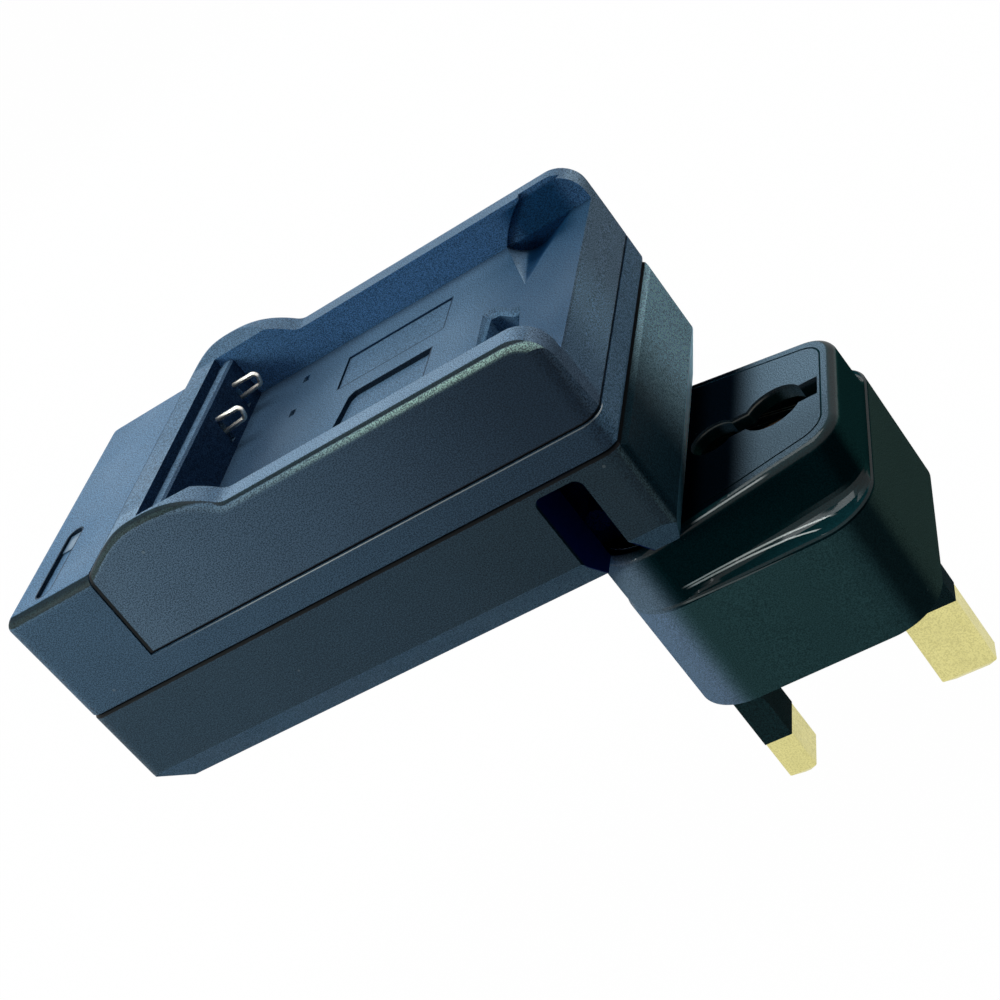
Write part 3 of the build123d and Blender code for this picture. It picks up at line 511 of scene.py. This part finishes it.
def smoky_lens(name):
    """Smoky clear plastic of the light pipe, with faint flow lines."""
    material, bench, surface, place = begin(name)
    flow = bench.noise(place["Object"], 900.0, 3.0)
    bench.feed(surface["Base Color"], bench.mix(flow, (0.060, 0.115, 0.180, 1.0), (0.090, 0.165, 0.255, 1.0)))
    bench.feed(surface["Roughness"], bench.ramp(flow, 0.3, 0.7, 0.30, 0.42))
    surface["Specular IOR Level"].default_value = 0.05
    surface["Transmission Weight"].default_value = 0.05
    surface["IOR"].default_value = 1.49
    bump(bench, surface, flow, 0.004 * MM)
    return material


def board_laminate(name):
    """Green board: woven glass under lacquer, with copper tracks as raised lines."""
    material, bench, surface, place = begin(name)
    bricks = bench.add("ShaderNodeTexBrick", {"Vector": place["Object"], "Scale": 240.0, "Mortar Size": 0.09})
    weave = bench.noise(place["Object"], 1400.0, 2.0)
    tone = bench.mix(weave, (0.010, 0.070, 0.030, 1.0), (0.016, 0.100, 0.042, 1.0))
    bench.feed(surface["Base Color"], bench.mix(bricks.outputs["Fac"], tone, (0.05, 0.17, 0.07, 1.0)))
    bench.feed(surface["Roughness"], bench.ramp(weave, 0.3, 0.7, 0.28, 0.40))
    bump(bench, surface, bricks.outputs["Fac"], 0.03 * MM)
    return material


def moulded_part(name, base, roughness=0.4, band=None):
    """Small electronic part: tinted body with a fine noise and, where given, a stripe along Z."""
    material, bench, surface, place = begin(name)
    grain = bench.group(shared("Moulded grain"), {"Vector": place["Object"], "Cells": 3000.0})
    tone = bench.mix(grain["Tone"], colour(base, 0.8), colour(base, 1.2))
    if band:
        height = bench.add("ShaderNodeSeparateXYZ", {"Vector": place["Object"]}).outputs["Z"]
        line = bench.group(shared("Line at a level"), {"Coordinate": height, "Level": band, "Width": 1.2 * MM})
        tone = bench.mix(line["Mask"], tone, colour(base, 2.2))
    bench.feed(surface["Base Color"], tone)
    bench.feed(surface["Roughness"], bench.ramp(grain["Tone"], 0.3, 0.7, roughness * 0.85, roughness * 1.15))
    bump(bench, surface, grain["Height"], 0.01 * MM)
    return material


def dress(material, *names):
    """Gives CAD nodes a material."""
    for name in names:
        mesh = NODES[name].data
        mesh.materials.clear()
        mesh.materials.append(material)


class CHARGER_OT_case(bpy.types.Operator):
    """Satin moulded plastic on the two halves of the case"""
    bl_idname = "charger.case"
    bl_label = "Finish the case"

    def execute(self, context):
        looks = context.scene.charger_colours
        finish = context.scene.charger_finish
        notch = (NOTCH[0], NOTCH[1], CASE_HIGH[1])
        lower = case_plastic("Housing plastic lower", looks.case, finish, 0.96, (JOINT,), None, notch, 0.0, lower_painted_light)
        upper = case_plastic("Housing plastic upper", looks.case, finish, 1.0, (JOINT,), None, None, 0.5, upper_painted_light)
        dress(lower, "lower_case")
        dress(upper, "upper_case")
        return {"FINISHED"}


class CHARGER_OT_cradle(bpy.types.Operator):
    """Satin moulded plastic on the battery cradle"""
    bl_idname = "charger.cradle"
    bl_label = "Finish the cradle"

    def execute(self, context):
        looks = context.scene.charger_colours
        finish = context.scene.charger_finish
        plastic = case_plastic("Cradle plastic", looks.case, finish, 1.02, (SEAM,), CRADLE_LOW[0], None, 0.85, cradle_painted_light)
        dress(plastic, "battery_cradle")
        return {"FINISHED"}


class CHARGER_OT_contacts(bpy.types.Operator):
    """Plated wire on the battery contacts, and nickel on the folding plug's blades"""
    bl_idname = "charger.contacts"
    bl_label = "Finish the contacts"

    def execute(self, context):
        looks = context.scene.charger_colours
        wire = metal("Contact wire", looks.contact, 0.34, (0.06, 1.0, 1.0))
        dress(wire, "contact_spring_near", "contact_spring_far")
        nickel = metal("Blade nickel", (0.60, 0.59, 0.56), 0.28)
        dress(nickel, "plug_blade_near", "plug_blade_far", "blade_contact_near", "blade_contact_far")
        return {"FINISHED"}


class CHARGER_OT_indicator(bpy.types.Operator):
    """Smoky plastic on the indicator, and its lamp"""
    bl_idname = "charger.indicator"
    bl_label = "Finish the indicator"

    def execute(self, context):
        dress(smoky_lens("Indicator lens"), "indicator_light_pipe")
        dress(moulded_part("Lamp body", (0.10, 0.16, 0.22), 0.4), "charge_led")
        return {"FINISHED"}


class CHARGER_OT_board(bpy.types.Operator):
    """Board, the parts on it and the screws"""
    bl_idname = "charger.board"
    bl_label = "Finish the board"

    def execute(self, context):
        dress(board_laminate("Board laminate"), "main_board")
        core_low, core_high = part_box("transformer")
        middle = (core_low[2] + core_high[2]) / 2
        dress(moulded_part("Transformer tape", (0.52, 0.36, 0.05), 0.35, middle), "transformer")
        dress(moulded_part("Capacitor film", (0.02, 0.03, 0.05), 0.3), "input_capacitor", "output_capacitor")
        dress(moulded_part("Chip epoxy", (0.012, 0.012, 0.013), 0.55), "bridge_rectifier", "controller_chip")
        dress(metal("Screw zinc", (0.50, 0.50, 0.49), 0.32), "case_screws", "adapter_screw")
        return {"FINISHED"}


class CHARGER_OT_plug(bpy.types.Operator):
    """Plastic of the folding plug"""
    bl_idname = "charger.plug"
    bl_label = "Finish the folding plug"

    def execute(self, context):
        looks = context.scene.charger_colours
        finish = context.scene.charger_finish
        # Painted shade, in part: the plug's black plastic tinted blue and made very dark, without sheen, to match the
        # shade in the notch.
        dress(case_plastic("Plug plastic", (0.003, 0.010, 0.055), finish, sheen=0.0), "plug_block", "plug_hinge_pin")
        return {"FINISHED"}


class CHARGER_OT_adapter(bpy.types.Operator):
    """Glossy plastic on the plug adapter"""
    bl_idname = "charger.adapter"
    bl_label = "Finish the adapter"

    def execute(self, context):
        looks = context.scene.charger_colours
        finish = context.scene.charger_finish
        top = COVER_HIGH[2]
        # Painted highlight lines: the gleams along the cover's shoulder and near its top edge. The gains of both
        # materials paint light and shade.
        gleams = ((0.067, 19.06 * MM, 3.8 * MM, 24.5 * MM, 1.0), (0.067, 18.70 * MM, 4.2 * MM, 23.0 * MM, 1.0),
                  (0.030, 17.05 * MM, 2.5 * MM, 26.0 * MM, 0.35), (0.0, 25.25 * MM, 9.0 * MM, 20.0 * MM, 0.8))
        cover = adapter_plastic("Adapter cover", looks.adapter, looks.socket_face, finish, top,
                                ((32.0, 9.0, 10.0), (0.6, 0.6, 0.6), (7.0, 4.6, 3.6)), gleams)
        base = adapter_plastic("Adapter base", looks.adapter_base, looks.socket_face, finish, top,
                               ((2.4, 1.95, 2.7), (0.30, 0.33, 0.34), (4.6, 3.1, 2.4)))
        dress(cover, "adapter_cover")
        dress(base, "adapter_base")
        dress(metal("Contact bronze", (0.62, 0.38, 0.18), 0.3), "line_contact", "neutral_contact", "earth_contact")
        return {"FINISHED"}


class CHARGER_OT_pins(bpy.types.Operator):
    """Brass pins and their sleeves"""
    bl_idname = "charger.pins"
    bl_label = "Finish the pins"

    def execute(self, context):
        looks = context.scene.charger_colours
        finish = context.scene.charger_finish
        dress(metal("Pin brass", looks.brass, 0.42), "line_pin", "neutral_pin", "earth_pin")
        dress(case_plastic("Pin sleeve", looks.sleeve, finish, sheen=0.05), "line_sleeve", "neutral_sleeve", "earth_sleeve")
        return {"FINISHED"}


def disc(name, radius, level, rings=24, spokes=96):
    """Flat disc: x = r cos a, y = r sin a, with r growing as a square from the middle to the radius."""
    part, turn = np.meshgrid(np.linspace(0.0, 1.0, rings), np.linspace(0.0, 2 * np.pi, spokes, endpoint=False), indexing="ij")
    reach = radius * part ** 2
    points = np.stack((reach * np.cos(turn), reach * np.sin(turn), np.full_like(reach, level)), axis=-1).reshape(-1, 3)
    ring, spoke = np.meshgrid(np.arange(1, rings - 1), np.arange(spokes), indexing="ij")
    after = (spoke + 1) % spokes
    quads = np.stack((ring * spokes + spoke, (ring + 1) * spokes + spoke, (ring + 1) * spokes + after, ring * spokes + after), axis=-1)
    fan = np.stack((np.zeros(spokes, int), spokes + np.arange(spokes), spokes + (np.arange(spokes) + 1) % spokes), axis=-1)
    mesh = bpy.data.meshes.new(name)
    mesh.from_pydata(points.tolist(), [], quads.reshape(-1, 4).tolist() + fan.tolist())
    mesh.update()
    made = bpy.data.objects.new(name, mesh)
    bpy.context.scene.collection.objects.link(made)
    return made


def seen_directly(bench):
    """1 for rays from the camera, from mirrors and through glass, which show the background as white."""
    paths = bench.add("ShaderNodeLightPath").outputs
    seen = bench.math("MAXIMUM", paths["Is Camera Ray"], paths["Is Glossy Ray"])
    return bench.math("MAXIMUM", seen, paths["Is Transmission Ray"])


def floor_paper(name):
    """White paper that keeps a soft shadow: glows to the camera and in reflections, dim to soft light."""
    material = bpy.data.materials.new(name)
    material.use_nodes = True
    bench = Bench(material.node_tree)
    material.node_tree.nodes.clear()
    seen = seen_directly(bench)
    tint = bench.mix(seen, (0.11, 0.16, 0.19, 1.0), (0.90, 0.90, 0.90, 1.0))
    paper = bench.add("ShaderNodeBsdfDiffuse", {"Color": tint})
    glow = bench.add("ShaderNodeEmission", {"Color": (1.0, 1.0, 1.0, 1.0), "Strength": 1.0})
    veil = bench.add("ShaderNodeMixShader", {0: bench.math("MULTIPLY", seen, 0.992)})
    bench.tree.links.new(paper.outputs[0], veil.inputs[1])
    bench.tree.links.new(glow.outputs[0], veil.inputs[2])
    bench.add("ShaderNodeOutputMaterial", {"Surface": veil.outputs[0]})
    return material


def soft_lamp(name, place, target, width, height, power, tint=(1.0, 1.0, 1.0)):
    """A rectangular lamp at a place, turned to a target."""
    lamp = bpy.data.lights.new(name, "AREA")
    lamp.shape = "RECTANGLE"
    lamp.size = width
    lamp.size_y = height
    lamp.energy = power
    lamp.color = tint
    made = bpy.data.objects.new(name, lamp)
    made.location = place
    made.rotation_euler = (Vector(target) - Vector(place)).to_track_quat("-Z", "Y").to_euler()
    bpy.context.scene.collection.objects.link(made)
    return made


class CHARGER_OT_stage(bpy.types.Operator):
    """Floor, lamps, room light and camera"""
    bl_idname = "charger.stage"
    bl_label = "Set the stage"

    def execute(self, context):
        scene = context.scene
        stage = scene.charger_stage
        floor = disc("floor", 40.0, PIN_LOW[2] - 0.2 * MM)
        floor.data.materials.append(floor_paper("Floor paper"))
        middle = (-0.02, 0.0, 0.04)
        soft_lamp("key lamp", (0.0, 0.14, 0.80), middle, 0.6, 0.5, stage.key_power, (0.93, 0.98, 1.0))
        soft_lamp("back lamp", (-0.45, 0.75, 0.40), middle, 0.6, 0.4, stage.back_power, (0.70, 0.87, 1.0))
        soft_lamp("fill lamp", (-0.125, -0.105, 0.11), (-0.05, -0.023, 0.045), 0.05, 0.05, stage.fill_power, (0.90, 1.0, 0.97))
        soft_lamp("edge strip", (-0.11, -0.373, 0.146), (0.014, -0.018, 0.019), 0.30, 0.006, stage.edge_power)
        self.room(scene, stage.ambient)
        self.camera(scene, stage)
        scene.view_settings.view_transform = "Standard"
        return {"FINISHED"}

    def room(self, scene, strength):
        """Room light: pale overhead, darker towards the camera's side, and white where it is seen."""
        world = bpy.data.worlds.new("Room")
        scene.world = world
        world.use_nodes = True
        bench = Bench(world.node_tree)
        world.node_tree.nodes.clear()
        place = bench.add("ShaderNodeTexCoord")
        split = bench.add("ShaderNodeSeparateXYZ", {"Vector": place.outputs["Generated"]}).outputs
        height = bench.ramp(split["Z"], -0.1, 0.9)
        behind = bench.ramp(split["Y"], -0.5, 0.6, 0.35, 1.0)
        shares = bench.math("MULTIPLY", bench.math("MULTIPLY_ADD", height, 0.5, 0.5), behind)
        level = bench.math("MULTIPLY", shares, strength)
        level = bench.math("MAXIMUM", level, seen_directly(bench))
        tone = bench.mix(level, (0.0, 0.0, 0.0, 1.0), (1.0, 1.0, 1.0, 1.0))
        sky = bench.add("ShaderNodeBackground", {"Color": tone, "Strength": 1.0})
        bench.add("ShaderNodeOutputWorld", {"Surface": sky.outputs[0]})

    def camera(self, scene, stage):
        """The camera at the picture's viewing angle, from its place and two directions."""
        right = Vector(stage.view_right).normalized()
        back = -Vector(stage.view_axis).normalized()
        up = back.cross(right).normalized()
        turn = Matrix((right, up, back)).transposed().to_4x4()
        lens = bpy.data.cameras.new("camera")
        lens.sensor_width = 36.0
        lens.sensor_fit = "HORIZONTAL"
        lens.lens = stage.lens
        lens.clip_start = 0.01
        made = bpy.data.objects.new("camera", lens)
        made.matrix_world = Matrix.Translation(Vector(stage.view_point)) @ turn
        scene.collection.objects.link(made)
        scene.camera = made


STEPS = (CHARGER_OT_case, CHARGER_OT_cradle, CHARGER_OT_contacts, CHARGER_OT_indicator, CHARGER_OT_board,
         CHARGER_OT_plug, CHARGER_OT_adapter, CHARGER_OT_pins, CHARGER_OT_stage)


class CHARGER_PT_panel(bpy.types.Panel):
    """Lists the steps and the values that can be changed"""
    bl_idname = "CHARGER_PT_panel"
    bl_label = "Battery charger"
    bl_space_type = "VIEW_3D"
    bl_region_type = "UI"
    bl_category = "Charger"

    def draw(self, context):
        layout = self.layout
        for group in (context.scene.charger_colours, context.scene.charger_finish, context.scene.charger_stage):
            box = layout.box()
            for name in group.__annotations__:
                box.prop(group, name)
        for step in STEPS:
            layout.operator(step.bl_idname)


GROUPS = {"charger_colours": ChargerColours, "charger_finish": ChargerFinish, "charger_stage": ChargerStage}
CLASSES = tuple(GROUPS.values()) + STEPS + (CHARGER_PT_panel,)


def register():
    for cls in CLASSES:
        bpy.utils.register_class(cls)
    for name, cls in GROUPS.items():
        setattr(bpy.types.Scene, name, bpy.props.PointerProperty(type=cls))


def unregister():
    for name in GROUPS:
        delattr(bpy.types.Scene, name)
    for cls in reversed(CLASSES):
        bpy.utils.unregister_class(cls)


def main():
    register()
    for step in STEPS:
        family, action = step.bl_idname.split(".")
        getattr(getattr(bpy.ops, family), action)()


if __name__ == "__main__":
    main()
